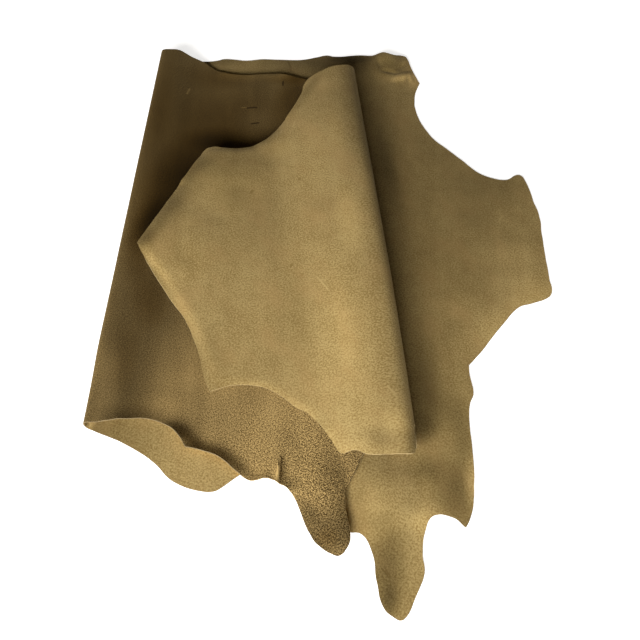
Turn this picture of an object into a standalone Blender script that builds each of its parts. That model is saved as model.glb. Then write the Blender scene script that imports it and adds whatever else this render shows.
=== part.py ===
"""A whole nubuck hide, laid on a floor and turned over twice into three layers.

The bottom layer lies grain up. A left fold turns it over to the middle layer, flesh
side up, and a right fold turns that back to the flap, grain up again.
Metres, +Z up, origin on the floor under the middle of the folded hide.
"""
import math
from collections import namedtuple

import bmesh
import bpy
from mathutils import Vector

# The leather
THICKNESS = 0.002
LAYER_STEP = 0.005

# The left fold: a straight roll that runs away from the viewer
LEFT_AXIS = -0.4435
LEFT_HALF_WIDTH = 0.012
LEFT_RISE = 0.029
LEFT_EASE = 0.13
LEFT_FAR_END = 0.705
LEFT_NEAR_END = -0.399

# The right fold: a higher, wider roll that leans to the left at its far end and bows a little
RIGHT_HALF_WIDTH = 0.040
RIGHT_RISE = 0.044
RIGHT_EASE = 0.19
RIGHT_FAR_END = Vector((0.0577, 0.610))
RIGHT_NEAR_END = Vector((0.1366, -0.450))
RIGHT_BOW = 0.0065
RIGHT_BOW_SKEW = 1.8
BOW_REACH = 0.5

# The mesh
CELL = 0.04
ROLL_STEPS = 8
CURVE_STEPS = 3
SHORTEST_EDGE = 0.007
CUT_SNAP = 0.004
ROLL_SNAP = 0.0006

MM = 0.001

# The cut edge, in millimetres as it lies, in the order in which it runs round the hide.
# In the right fold, x is the distance over the roll from where it leaves the middle layer.
Stretch = namedtuple("Stretch", "name layer points")
EDGE = (
    Stretch("far edge under the middle layer", "bottom",
            ((-400, 696), (-345, 685), (-305, 690), (-292, 696), (-230, 690), (-185, 696))),
    Stretch("far edge", "bottom",
            ((-140, 693), (-75, 694), (-40, 705), (-13, 713), (5, 707), (75, 713), (115, 714))),
    Stretch("far right corner", "bottom",
            ((130, 724), (145, 727), (164, 718), (193, 713), (204, 705), (207, 684), (229, 600))),
    Stretch("far right bay", "bottom",
            ((215, 555), (206, 500), (210, 465), (223, 425), (245, 375), (275, 338), (302, 304))),
    Stretch("right knob", "bottom",
            ((340, 257), (357, 245), (400, 234), (430, 251), (437, 249), (445, 228), (452, 165))),
    Stretch("right side", "bottom",
            ((457, 115), (452, 55), (446, -64), (444, -97), (435, -107), (400, -122), (370, -133))),
    Stretch("near right bay", "bottom",
            ((337, -169), (270, -251), (253, -270), (252, -294), (254, -332), (245, -352))),
    Stretch("shank", "bottom",
            ((240, -385), (237, -463), (234, -500), (220, -567), (211, -582), (191, -567))),
    Stretch("shank's inner bay", "bottom",
            ((161, -562), (151, -569), (145, -581), (138, -603), (135, -625), (135, -656))),
    Stretch("near tip", "bottom",
            ((120, -689), (98, -725), (91, -727), (83, -723), (67, -708), (58, -669), (52, -620))),
    Stretch("near edge under the middle layer", "bottom",
            ((35, -593), (15, -588), (-12, -545), (-45, -490), (-90, -460), (-135, -467))),
    Stretch("near left lobe", "bottom",
            ((-190, -506), (-214, -521), (-240, -519), (-278, -506), (-295, -495), (-323, -467),
             (-388, -428), (-420, -415))),
    Stretch("arched edge", "middle",
            ((-417, -398), (-387, -396), (-341, -389), (-305, -399), (-281, -424), (-267, -442))),
    Stretch("near edge", "middle",
            ((-250, -446), (-200, -467), (-155, -502), (-143, -503), (-111, -500), (-88, -512))),
    Stretch("flesh lobe", "middle",
            ((-76, -532), (-52, -588), (-34, -614), (-13, -628), (-1, -631), (14, -617), (18, -600),
             (11, -555), (12, -527), (30, -485), (43, -459))),
    Stretch("near edge under the flap", "middle",
            ((70, -442), (90, -447))),
    Stretch("slit in the right fold", "right fold",
            ((40, -454), (52, -412), (76, -472))),
    Stretch("near edge by the right fold", "flap",
            ((90, -476), (49, -475), (30, -464), (15, -467), (4, -469), (-8, -448))),
    Stretch("near edge", "flap",
            ((-41, -394), (-56, -378), (-74, -367), (-111, -336), (-146, -321), (-193, -319),
             (-232, -332))),
    Stretch("near left edge", "flap",
            ((-238, -329), (-247, -306), (-265, -245), (-280, -209), (-297, -174), (-337, -115),
             (-390, -35))),
    Stretch("left corner", "flap",
            ((-408, -3), (-414, 12), (-400, 51), (-351, 188))),
    Stretch("far left bay", "flap",
            ((-312, 282), (-302, 301), (-290, 310), (-254, 304), (-227, 302), (-194, 310),
             (-164, 341), (-141, 379), (-118, 423))),
    Stretch("far edge", "flap",
            ((-79, 511), (-66, 558), (-33, 583), (-18, 590), (2, 597))),
    Stretch("far edge under the flap", "middle",
            ((25, 602), (-25, 597))),
    Stretch("far edge", "middle",
            ((-68, 602), (-102, 614), (-128, 625), (-190, 623), (-235, 620), (-284, 631))),
    Stretch("far left corner", "middle",
            ((-310, 643), (-340, 672), (-362, 682), (-404, 698), (-432, 703))),
)

# Soft swells and dips of each layer, which the layers above it follow. Turn is in degrees.
Swell = namedtuple("Swell", "name layer x y half_length half_width turn height")
SWELLS = (
    Swell("far right corner", "bottom", 0.165, 0.690, 0.050, 0.065, 20, 0.011),
    Swell("bulge by the flesh lobe", "bottom", 0.065, -0.515, 0.080, 0.100, 0, 0.010),
    Swell("pinch at the left fold's near end", "middle", -0.444, -0.420, 0.060, 0.200, 0, -0.017),
    Swell("arch over the near left lobe", "middle", -0.390, -0.420, 0.090, 0.150, 0, 0.008),
    Swell("curled near edge", "middle", -0.215, -0.470, 0.080, 0.045, -27, 0.010),
    Swell("flesh lobe", "middle", 0.000, -0.560, 0.055, 0.120, 15, 0.012),
    Swell("notch beside the flesh lobe", "middle", -0.110, -0.470, 0.060, 0.080, 0, 0.005),
    Swell("middle of the flap", "flap", -0.100, 0.100, 0.320, 0.500, 0, 0.012),
    Swell("lifted bay of the flap", "flap", -0.250, 0.290, 0.160, 0.200, 0, 0.020),
    Swell("lifted corner of the flap", "flap", -0.345, 0.060, 0.120, 0.170, 0, 0.014),
    Swell("drooping near left edge", "flap", -0.365, -0.095, 0.120, 0.050, -57, -0.008),
)


def half_round(half_width, half_height):
    """Length over half an ellipse, close enough for leather."""
    both = 3 * (half_width + half_height)
    mixed = (3 * half_width + half_height) * (half_width + 3 * half_height)
    return math.pi / 2 * (both - math.sqrt(mixed))


LEFT_ROLL = half_round(LEFT_HALF_WIDTH, LEFT_RISE / 2)
RIGHT_ROLL = half_round(RIGHT_HALF_WIDTH, RIGHT_RISE / 2)
RIGHT_ALONG = (RIGHT_FAR_END - RIGHT_NEAR_END).normalized()
RIGHT_OUT = Vector((RIGHT_ALONG.y, -RIGHT_ALONG.x))
RIGHT_AXIS = RIGHT_FAR_END - RIGHT_OUT * RIGHT_HALF_WIDTH
RIGHT_LENGTH = RIGHT_FAR_END.y - RIGHT_NEAR_END.y


def ease(share):
    """1 at the fold, 0 past its easing, with level ends."""
    share = min(max(share, 0.0), 1.0)
    return 0.5 + 0.5 * math.cos(math.pi * share)


def swell_height(layer, x, y):
    """Height that the layer's own swells add at a place."""
    total = 0.0
    for swell in SWELLS:
        if swell.layer != layer:
            continue
        turn = math.radians(swell.turn)
        dx = x - swell.x
        dy = y - swell.y
        along = (dx * math.cos(turn) + dy * math.sin(turn)) / swell.half_length
        across = (dy * math.cos(turn) - dx * math.sin(turn)) / swell.half_width
        reach = along * along + across * across
        if reach < 1.0:
            total += swell.height * (1.0 - reach) ** 2
    return total


def bottom_height(x, y):
    """Middle of the bottom layer's thickness: flat on the floor but for its swells."""
    return THICKNESS / 2 + swell_height("bottom", x, y)


def middle_height(x, y):
    """The middle layer comes down from the left fold onto the bottom layer."""
    loft = (LEFT_RISE - LAYER_STEP) * ease((x - LEFT_AXIS) / LEFT_EASE)
    loft += swell_height("middle", x, y)
    return bottom_height(x, y) + LAYER_STEP + max(loft, 0)


def flap_height(x, y):
    """The flap comes down from the right fold onto the middle layer."""
    inside = (RIGHT_AXIS - Vector((x, y))).dot(RIGHT_OUT)
    loft = (RIGHT_RISE - LAYER_STEP) * ease(inside / RIGHT_EASE)
    loft += swell_height("flap", x, y)
    return middle_height(x, y) + LAYER_STEP + max(loft, 0)


def right_bow(y):
    """How far the right fold bows out to the right at a place along it."""
    share = min(max((RIGHT_FAR_END.y - y) / RIGHT_LENGTH, 0.0), 1.0)
    return RIGHT_BOW * math.sin(math.pi * share ** RIGHT_BOW_SKEW)


def roll(axis, out, half_width, share, low, high):
    """A place on a roll: share runs from 0 where it starts, below, to 1 at its top."""
    turn = math.pi * share
    plan = axis + out * (half_width * math.sin(turn))
    height = (low + high) / 2 - (high - low) / 2 * math.cos(turn)
    return Vector((plan.x, plan.y, height))


def folded(flat):
    """Where a point of the flat hide lies once it is turned over both folds."""
    if flat.x >= 0:
        x = LEFT_AXIS + flat.x
        return Vector((x, flat.y, bottom_height(x, flat.y)))

    along = -flat.x - LEFT_ROLL
    if along < 0:
        axis = Vector((LEFT_AXIS, flat.y))
        low = bottom_height(axis.x, axis.y)
        high = middle_height(axis.x, axis.y)
        return roll(axis, Vector((-1, 0)), LEFT_HALF_WIDTH, -flat.x / LEFT_ROLL, low, high)

    plan = Vector((LEFT_AXIS + along, flat.y))
    past = (plan - RIGHT_AXIS).dot(RIGHT_OUT)
    axis = plan - RIGHT_OUT * past
    bow = Vector((right_bow(axis.y), 0))
    if past <= 0:
        plan += bow * max(1 + past / BOW_REACH, 0)
        return Vector((plan.x, plan.y, middle_height(plan.x, plan.y)))

    if past < RIGHT_ROLL:
        axis += bow
        low = middle_height(axis.x, axis.y)
        high = flap_height(axis.x, axis.y)
        return roll(axis, RIGHT_OUT, RIGHT_HALF_WIDTH, past / RIGHT_ROLL, low, high)

    inside = past - RIGHT_ROLL
    plan = axis - RIGHT_OUT * inside + bow * max(1 - inside / BOW_REACH, 0)
    return Vector((plan.x, plan.y, flap_height(plan.x, plan.y)))


def unfolded(layer, x, y):
    """The same place on the flat hide, which runs from the bottom layer, at +X, to the flap."""
    if layer == "bottom":
        return Vector((x - LEFT_AXIS, y))
    if layer == "right fold":
        axis = RIGHT_AXIS + RIGHT_ALONG * ((y - RIGHT_AXIS.y) / RIGHT_ALONG.y)
        plan = axis + RIGHT_OUT * x
        return Vector((LEFT_AXIS - LEFT_ROLL - plan.x, plan.y))
    plan = Vector((x, y))
    inside = (RIGHT_AXIS - plan).dot(RIGHT_OUT)
    plan.x -= right_bow(y) * max(1 - inside / BOW_REACH, 0)
    if layer == "flap":
        inside = (RIGHT_AXIS - plan).dot(RIGHT_OUT)
        plan += RIGHT_OUT * (2 * inside + RIGHT_ROLL)
    return Vector((LEFT_AXIS - LEFT_ROLL - plan.x, plan.y))


def edge_points():
    """The edge's points on the flat hide, with the two ends of the left fold."""
    points = [Vector((0, LEFT_FAR_END))]
    for stretch in EDGE:
        if stretch.name == "arched edge":
            points.append(Vector((-LEFT_ROLL / 2, LEFT_NEAR_END)))
        for x, y in stretch.points:
            points.append(unfolded(stretch.layer, x * MM, y * MM))
    return points


def flat_hide():
    """One flat face inside a smooth curve through the edge's points."""
    curve = bpy.data.curves.new("edge", "CURVE")
    curve.dimensions = "2D"
    curve.fill_mode = "BOTH"
    curve.resolution_u = CURVE_STEPS
    points = edge_points()
    spline = curve.splines.new("BEZIER")
    spline.bezier_points.add(len(points) - 1)
    spline.use_cyclic_u = True
    for knot, point in zip(spline.bezier_points, points):
        knot.co = (point.x, point.y, 0)
        knot.handle_left_type = "AUTO"
        knot.handle_right_type = "AUTO"

    outline = bpy.data.objects.new("edge", curve)
    bpy.context.scene.collection.objects.link(outline)
    graph = bpy.context.evaluated_depsgraph_get()
    mesh = bpy.data.meshes.new_from_object(outline.evaluated_get(graph))
    bpy.data.objects.remove(outline)

    bm = bmesh.new()
    bm.from_mesh(mesh)
    bpy.data.meshes.remove(mesh)
    bmesh.ops.dissolve_faces(bm, faces=bm.faces[:])
    bmesh.ops.remove_doubles(bm, verts=bm.verts[:], dist=SHORTEST_EDGE)
    return bm


def cut(bm, faces, point, normal, snap):
    """Divide the faces along a straight line of the flat hide."""
    edges = {edge for face in faces for edge in face.edges}
    verts = {vert for face in faces for vert in face.verts}
    bmesh.ops.bisect_plane(
        bm,
        geom=list(verts) + list(edges) + list(faces),
        dist=snap,
        plane_co=(point.x, point.y, 0),
        plane_no=(normal.x, normal.y, 0),
    )


def faces_between(bm, low, high):
    """The faces whose middle has a place along the hide between two values."""
    return [face for face in bm.faces if low < place_along(face.calc_center_median()) < high]


def place_along(flat):
    """0 to 1 on the bottom layer and the left roll, then 1 to 4 over the middle, roll and flap."""
    along = -flat.x - LEFT_ROLL
    if along < 0:
        return 0.5 if flat.x < 0 else 0.0
    plan = Vector((LEFT_AXIS + along, flat.y))
    past = (plan - RIGHT_AXIS).dot(RIGHT_OUT)
    if past < 0:
        return 1.5
    if past < RIGHT_ROLL:
        return 2.5
    return 3.5


def on_flat(past):
    """A point and a normal, on the flat hide, of the line that lies past the right axis."""
    plan = RIGHT_AXIS + RIGHT_OUT * past
    point = Vector((LEFT_AXIS - LEFT_ROLL - plan.x, plan.y))
    return point, Vector((-RIGHT_OUT.x, RIGHT_OUT.y))


def divide(bm):
    """Cut the flat face into cells, with narrow strips where it rolls over the folds."""
    left_out = Vector((1, 0))
    right_start, right_out = on_flat(0)
    cut(bm, bm.faces[:], Vector((0, 0)), left_out, ROLL_SNAP)
    cut(bm, bm.faces[:], Vector((-LEFT_ROLL, 0)), left_out, ROLL_SNAP)
    cut(bm, faces_between(bm, 1, 4), right_start, right_out, ROLL_SNAP)
    cut(bm, faces_between(bm, 1, 4), on_flat(RIGHT_ROLL)[0], right_out, ROLL_SNAP)

    rows = math.ceil(max(vert.co.y for vert in bm.verts) / CELL)
    for row in range(-rows, rows + 1):
        cut(bm, bm.faces[:], Vector((0, row * CELL)), Vector((0, 1)), CUT_SNAP)

    columns = math.ceil(max(vert.co.x for vert in bm.verts) / CELL)
    for column in range(1, columns):
        cut(bm, faces_between(bm, -1, 0.1), Vector((column * CELL, 0)), left_out, CUT_SNAP)

    # The middle layer's columns fan out from the left fold to the leaning right one
    middle_start = Vector((-LEFT_ROLL, right_start.y))
    fan = round((middle_start - right_start).length / CELL)
    for column in range(1, fan):
        share = column / fan
        point = middle_start.lerp(right_start, share)
        cut(bm, faces_between(bm, 1, 2), point, left_out.lerp(-right_out, share), CUT_SNAP)

    flap_end = min(vert.co.x for vert in bm.verts)
    flap_columns = math.ceil((right_start.x - flap_end) / CELL)
    for column in range(1, flap_columns):
        point = on_flat(RIGHT_ROLL + column * CELL)[0]
        cut(bm, faces_between(bm, 3, 4), point, right_out, CUT_SNAP)

    for step in range(1, ROLL_STEPS):
        share = step / ROLL_STEPS
        cut(bm, faces_between(bm, 0.1, 1), Vector((-LEFT_ROLL * share, 0)), left_out, ROLL_SNAP)
        cut(bm, faces_between(bm, 2, 3), on_flat(RIGHT_ROLL * share)[0], right_out, ROLL_SNAP)
    bmesh.ops.triangulate(bm, faces=bm.faces[:])


def leather():
    """Olive tan nubuck."""
    material = bpy.data.materials.new("nubuck")
    material.use_nodes = True
    shader = material.node_tree.nodes["Principled BSDF"]
    shader.inputs["Base Color"].default_value = (0.26, 0.19, 0.08, 1)
    shader.inputs["Roughness"].default_value = 0.9
    shader.inputs["Metallic"].default_value = 0.0
    return material


def hide(collection):
    """The folded hide: one sheet with its thickness."""
    bm = flat_hide()
    divide(bm)
    for vert in bm.verts:
        vert.co = folded(vert.co)
    mesh = bpy.data.meshes.new("hide")
    bm.to_mesh(mesh)
    bm.free()
    mesh.materials.append(leather())
    mesh.shade_smooth()

    sheet = bpy.data.objects.new("hide", mesh)
    collection.objects.link(sheet)
    thickness = sheet.modifiers.new("thickness", "SOLIDIFY")
    thickness.thickness = THICKNESS
    thickness.offset = 0
    thickness.use_even_offset = True
    return sheet


for old in list(bpy.data.objects):
    bpy.data.objects.remove(old, do_unlink=True)

parts = bpy.data.collections.new("nubuck leather")
bpy.context.scene.collection.children.link(parts)
hide(parts)
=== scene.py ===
import math
from collections import namedtuple

import bmesh
import bpy
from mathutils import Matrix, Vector, noise


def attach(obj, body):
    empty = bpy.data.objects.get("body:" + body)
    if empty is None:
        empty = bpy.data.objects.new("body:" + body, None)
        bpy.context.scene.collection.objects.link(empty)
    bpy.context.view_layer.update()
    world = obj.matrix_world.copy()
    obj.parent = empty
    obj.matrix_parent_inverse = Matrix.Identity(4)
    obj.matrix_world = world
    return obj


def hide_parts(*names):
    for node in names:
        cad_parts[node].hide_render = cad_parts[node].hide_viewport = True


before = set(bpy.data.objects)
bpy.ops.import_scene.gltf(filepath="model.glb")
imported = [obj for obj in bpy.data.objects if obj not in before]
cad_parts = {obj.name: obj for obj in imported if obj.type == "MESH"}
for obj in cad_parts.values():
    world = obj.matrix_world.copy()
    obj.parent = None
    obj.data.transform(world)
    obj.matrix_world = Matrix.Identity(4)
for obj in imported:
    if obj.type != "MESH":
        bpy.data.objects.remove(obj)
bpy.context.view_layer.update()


# The hide, as it lies. One whole tanned hide in one piece, its natural edge trimmed with a
# knife. The bottom layer lies grain up, a left fold turns it over to the middle layer, flesh
# side up, and a higher right fold turns that back to the flap, grain up again.

THICKNESS = 0.002
LAYER_STEP = 0.005
MM = 0.001

# The left fold: a straight roll that runs away from the viewer
LEFT_AXIS = -0.4435
LEFT_HALF_WIDTH = 0.012
LEFT_RISE = 0.029
LEFT_EASE = 0.13
LEFT_FAR_END = 0.692
LEFT_NEAR_END = -0.399

# The right fold: a higher, wider roll that leans to the left at its far end and bows a little
RIGHT_HALF_WIDTH = 0.040
RIGHT_RISE = 0.044
RIGHT_EASE = 0.19
RIGHT_FAR_END = Vector((0.0567, 0.610))
RIGHT_NEAR_END = Vector((0.1366, -0.450))
RIGHT_BOW = 0.0040
RIGHT_BOW_SKEW = 1.8
BOW_REACH = 0.5
ROLL_FULLNESS = 0.68

# The cut edge, in millimetres as it lies, in the order in which it runs round the hide.
# In the right fold, x is the distance over the roll from where it leaves the middle layer.
# A stretch of which the start is sharp begins at a corner; the rest run on smoothly.
Stretch = namedtuple("Stretch", "name layer start points")
EDGE = (
    Stretch("far edge under the middle layer", "bottom", "soft",
            ((-400, 695), (-345, 684), (-305, 689), (-292, 695), (-230, 689), (-185, 695))),
    Stretch("far edge", "bottom", "soft",
            ((-140, 693), (-75, 693), (-40, 704), (-13, 712), (5, 707), (75, 712), (115, 709))),
    Stretch("far right corner", "bottom", "soft",
            ((127, 712), (139, 712), (153, 703), (170, 699), (189, 704), (200, 701), (204, 691),
             (209, 663), (217, 634))),
    Stretch("far right bay", "bottom", "sharp",
            ((229, 591), (216, 556), (211, 530), (209, 496), (213, 460), (223, 424), (245, 374),
             (275, 337), (302, 303))),
    Stretch("right knob", "bottom", "soft",
            ((340, 256), (357, 245), (400, 233), (430, 250), (437, 248), (445, 227), (452, 165))),
    Stretch("right side", "bottom", "soft",
            ((457, 114), (452, 54), (446, -64), (444, -97), (435, -107), (400, -122), (370, -133))),
    Stretch("near right bay", "bottom", "soft",
            ((337, -169), (270, -251))),
    Stretch("shank", "bottom", "sharp",
            ((253, -270), (252, -294), (254, -332), (245, -352), (240, -385), (237, -463),
             (234, -500), (220, -567))),
    Stretch("shank's inner bay", "bottom", "sharp",
            ((210, -583), (191, -567), (161, -562), (151, -569), (145, -581), (138, -603),
             (135, -625), (135, -656))),
    Stretch("near tip", "bottom", "soft",
            ((120, -689), (98, -725), (91, -727), (83, -723), (67, -708), (58, -669), (52, -620))),
    Stretch("near edge under the middle layer", "bottom", "soft",
            ((35, -593), (15, -588), (-12, -545), (-45, -490), (-90, -460), (-135, -467))),
    Stretch("near left lobe", "bottom", "soft",
            ((-190, -506), (-214, -521), (-240, -519), (-278, -506), (-295, -495), (-323, -467),
             (-388, -428), (-420, -415))),
    Stretch("arched edge", "middle", "soft",
            ((-415, -402), (-385, -398), (-340, -390), (-303, -403), (-279, -428))),
    Stretch("near edge", "middle", "sharp",
            ((-266, -447), (-250, -449), (-223, -456), (-200, -468), (-176, -488), (-154, -504),
             (-142, -505), (-125, -501), (-110, -506), (-101, -512), (-92, -515), (-84, -522))),
    Stretch("flesh lobe", "middle", "soft",
            ((-76, -532), (-52, -588), (-34, -614), (-13, -628), (-1, -631), (14, -616), (18, -599),
             (11, -553), (12, -525), (30, -485), (43, -459))),
    Stretch("near edge under the flap", "middle", "soft",
            ((70, -443), (90, -448))),
    Stretch("slit in the right fold", "right fold", "soft",
            ((40, -454), (52, -412), (76, -472))),
    Stretch("near edge by the right fold", "flap", "sharp",
            ((90, -476), (53, -474), (42, -469), (36, -464), (27, -461), (16, -463), (9, -464),
             (3, -462), (-5, -449), (-14, -433))),
    Stretch("near edge", "flap", "soft",
            ((-41, -394), (-56, -378), (-74, -367), (-111, -337), (-146, -321), (-193, -319),
             (-218, -326))),
    Stretch("near left edge", "flap", "sharp",
            ((-234, -333), (-247, -307), (-265, -246), (-280, -209), (-297, -174), (-337, -116),
             (-390, -35), (-405, -8))),
    Stretch("left corner", "flap", "sharp",
            ((-416, 11), (-398, 54), (-375, 120), (-352, 195))),
    Stretch("far left bay", "flap", "soft",
            ((-312, 282), (-302, 301), (-290, 310), (-254, 304), (-227, 302), (-194, 312),
             (-165, 342), (-141, 379), (-118, 423))),
    Stretch("far edge", "flap", "soft",
            ((-79, 507), (-66, 554), (-33, 579), (-18, 586), (2, 594))),
    Stretch("far edge under the flap", "middle", "soft",
            ((25, 600), (-25, 595))),
    Stretch("far edge", "middle", "soft",
            ((-68, 595), (-102, 607), (-128, 618), (-189, 616), (-234, 613), (-283, 624))),
    Stretch("far left corner", "middle", "soft",
            ((-310, 641), (-340, 669), (-360, 677), (-376, 683), (-392, 692), (-407, 699),
             (-432, 697))),
)

# Soft swells, dips and creases of each layer, which the layers above it follow, in metres
# and degrees
Swell = namedtuple("Swell", "name layer x y half_length half_width turn height")
SWELLS = (
    Swell("far right corner", "bottom", 0.160, 0.680, 0.080, 0.095, 0, 0.007),
    Swell("bulge of the far right corner", "bottom", 0.150, 0.700, 0.042, 0.062, 0, 0.007),
    Swell("ridge of the far right corner", "bottom", 0.186, 0.618, 0.042, 0.018, 30, 0.004),
    Swell("groove left of the bulge", "bottom", 0.126, 0.675, 0.036, 0.010, 100, -0.003),
    Swell("groove before the bulge", "bottom", 0.152, 0.636, 0.032, 0.010, -20, -0.003),
    Swell("groove right of the bulge", "bottom", 0.182, 0.652, 0.034, 0.010, 58, -0.003),
    Swell("first pucker", "bottom", 0.176, 0.600, 0.030, 0.007, 62, 0.0022),
    Swell("second pucker", "bottom", 0.192, 0.604, 0.030, 0.007, 80, 0.0025),
    Swell("third pucker", "bottom", 0.207, 0.612, 0.026, 0.007, 98, 0.0022),
    Swell("bulge by the flesh lobe", "bottom", 0.065, -0.515, 0.080, 0.100, 0, 0.010),
    Swell("pinch at the left fold's near end", "middle", -0.444, -0.420, 0.060, 0.200, 0, -0.017),
    Swell("arch over the near left lobe", "middle", -0.412, -0.420, 0.080, 0.130, 0, 0.007),
    Swell("curl where two arcs meet", "middle", -0.280, -0.436, 0.055, 0.034, -48, 0.010),
    Swell("curled near edge", "middle", -0.215, -0.475, 0.080, 0.034, -27, 0.006),
    Swell("flesh lobe", "middle", -0.008, -0.560, 0.052, 0.120, 15, 0.011),
    Swell("notch beside the flesh lobe", "middle", -0.110, -0.470, 0.060, 0.080, 0, 0.005),
    Swell("crease at the notch", "middle", -0.104, -0.492, 0.042, 0.008, 86, 0.005),
    Swell("groove beside the crease", "middle", -0.090, -0.475, 0.040, 0.013, 86, -0.002),
    Swell("middle of the flap", "flap", -0.100, 0.100, 0.320, 0.500, 0, 0.012),
    Swell("lifted bay of the flap", "flap", -0.250, 0.290, 0.160, 0.200, 0, 0.020),
    Swell("lifted corner of the flap", "flap", -0.345, 0.060, 0.120, 0.170, 0, 0.014),
    Swell("drooping near left edge", "flap", -0.365, -0.095, 0.120, 0.040, -57, -0.006),
)

# Where a margin of the leather curls up from its layer, or droops
Curl = namedtuple("Curl", "layer stretch reach height")
CURLS = (
    Curl("middle", "arched edge", 0.040, 0.005),
    Curl("middle", "near edge", 0.028, 0.005),
    Curl("middle", "flesh lobe", 0.020, -0.003),
    Curl("flap", "near left edge", 0.024, -0.006),
    Curl("flap", "left corner", 0.022, -0.004),
    Curl("flap", "far left bay", 0.022, -0.003),
    Curl("flap", "near edge", 0.014, -0.002),
    Curl("flap", "near edge by the right fold", 0.025, -0.003),
    Curl("middle", "far edge", 0.030, 0.004),
)

# How leather that has been rolled up and unrolled never lies quite flat
RIPPLE_HEIGHT = {"bottom": 0.0012, "middle": 0.0015, "flap": 0.0020}
RIPPLES_ACROSS = 9
RIPPLES_ALONG = 5

# The coarse fibre that stands up on the flesh lobe
LOBE_PLACE = Vector((-0.020, -0.545))
LOBE_REACH = 0.14
LOBE_FIBRE = 0.0012
LOBE_FIBRE_SCALE = 170

# The far right corner, where the bottom layer is puckered
FAR_CORNER = Vector((0.165, 0.670))
FAR_CORNER_REACH = 0.09

# The size of the sheet's cells, and how finely its folds and its edge are divided
CELL = 0.0078
LEFT_ROLL_STEPS = 10
RIGHT_ROLL_STEPS = 14
CURVE_STEPS = 7
SHORTEST_EDGE = 0.0016
CUT_SNAP = 0.0010

# How far the knife strays, how often, and another stretch of noise for its second direction
EDGE_WOBBLE = 0.0010
EDGE_WOBBLES = 45
WOBBLE_SHIFT = Vector((0, 0, 7.5))


def half_round(half_width, half_height):
    """Length over half an ellipse, close enough for leather."""
    both = 3 * (half_width + half_height)
    mixed = (3 * half_width + half_height) * (half_width + 3 * half_height)
    return math.pi / 2 * (both - math.sqrt(mixed))


LEFT_ROLL = half_round(LEFT_HALF_WIDTH, LEFT_RISE / 2)
RIGHT_ROLL = half_round(RIGHT_HALF_WIDTH, RIGHT_RISE / 2)
RIGHT_ALONG = (RIGHT_FAR_END - RIGHT_NEAR_END).normalized()
RIGHT_OUT = Vector((RIGHT_ALONG.y, -RIGHT_ALONG.x))
RIGHT_AXIS = RIGHT_FAR_END - RIGHT_OUT * RIGHT_HALF_WIDTH
RIGHT_LENGTH = RIGHT_FAR_END.y - RIGHT_NEAR_END.y


def ease(share):
    """1 at the fold, 0 past its easing, with level ends."""
    share = min(max(share, 0.0), 1.0)
    return 0.5 + 0.5 * math.cos(math.pi * share)


def soft_patch(patch, x, y):
    """1 in the middle of a turned oval patch, falling softly to 0 at its rim."""
    turn = math.radians(patch.turn)
    dx = x - patch.x
    dy = y - patch.y
    along = (dx * math.cos(turn) + dy * math.sin(turn)) / patch.half_length
    across = (dy * math.cos(turn) - dx * math.sin(turn)) / patch.half_width
    reach = along * along + across * across
    return (1.0 - reach) ** 2 if reach < 1.0 else 0.0


def edge_line(layer, name):
    """A stretch of the edge as points in metres."""
    return [Vector(point) * MM
            for stretch in EDGE if (stretch.layer, stretch.name) == (layer, name)
            for point in stretch.points]


def distance_to(line, place):
    """Least distance from a place to a line through points."""
    least = math.inf
    for start, end in zip(line, line[1:]):
        run = end - start
        share = min(max((place - start).dot(run) / run.length_squared, 0.0), 1.0)
        least = min(least, (place - start - run * share).length)
    return least


CURL_LINES = [edge_line(curl.layer, curl.stretch) for curl in CURLS]


def lift(layer, x, y):
    """Height that a layer's own swells, curled margins and ripples add at a place."""
    total = sum(swell.height * soft_patch(swell, x, y)
                for swell in SWELLS if swell.layer == layer)
    for curl, line in zip(CURLS, CURL_LINES):
        if curl.layer == layer:
            share = distance_to(line, Vector((x, y))) / curl.reach
            total += curl.height * max(1.0 - share, 0.0) ** 2
    wave = noise.noise(Vector((x * RIPPLES_ACROSS, y * RIPPLES_ALONG, len(layer))))
    return total + RIPPLE_HEIGHT[layer] * (0.5 + 0.5 * wave)


def bottom_height(x, y):
    """Middle of the bottom layer's thickness: flat on the floor but for its swells."""
    return THICKNESS / 2 + lift("bottom", x, y)


def middle_height(x, y):
    """The middle layer comes down from the left fold onto the bottom layer."""
    loft = (LEFT_RISE - LAYER_STEP) * ease((x - LEFT_AXIS) / LEFT_EASE)
    loft += lift("middle", x, y)
    return bottom_height(x, y) + LAYER_STEP + max(loft, 0)


def flap_height(x, y):
    """The flap comes down from the right fold onto the middle layer."""
    inside = (RIGHT_AXIS - Vector((x, y))).dot(RIGHT_OUT)
    loft = (RIGHT_RISE - LAYER_STEP) * ease(inside / RIGHT_EASE)
    loft += lift("flap", x, y)
    return middle_height(x, y) + LAYER_STEP + max(loft, 0)


def right_bow(y):
    """How far the right fold bows out to the right at a place along it."""
    share = min(max((RIGHT_FAR_END.y - y) / RIGHT_LENGTH, 0.0), 1.0)
    return RIGHT_BOW * math.sin(math.pi * share ** RIGHT_BOW_SKEW)


def roll(axis, out, half_width, share, low, high):
    """A place on a roll: share runs from 0 where it starts, below, to 1 at its top."""
    turn = math.pi * share
    plan = axis + out * (half_width * math.sin(turn) ** ROLL_FULLNESS)
    height = (low + high) / 2 - (high - low) / 2 * math.cos(turn)
    return Vector((plan.x, plan.y, height))


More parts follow.
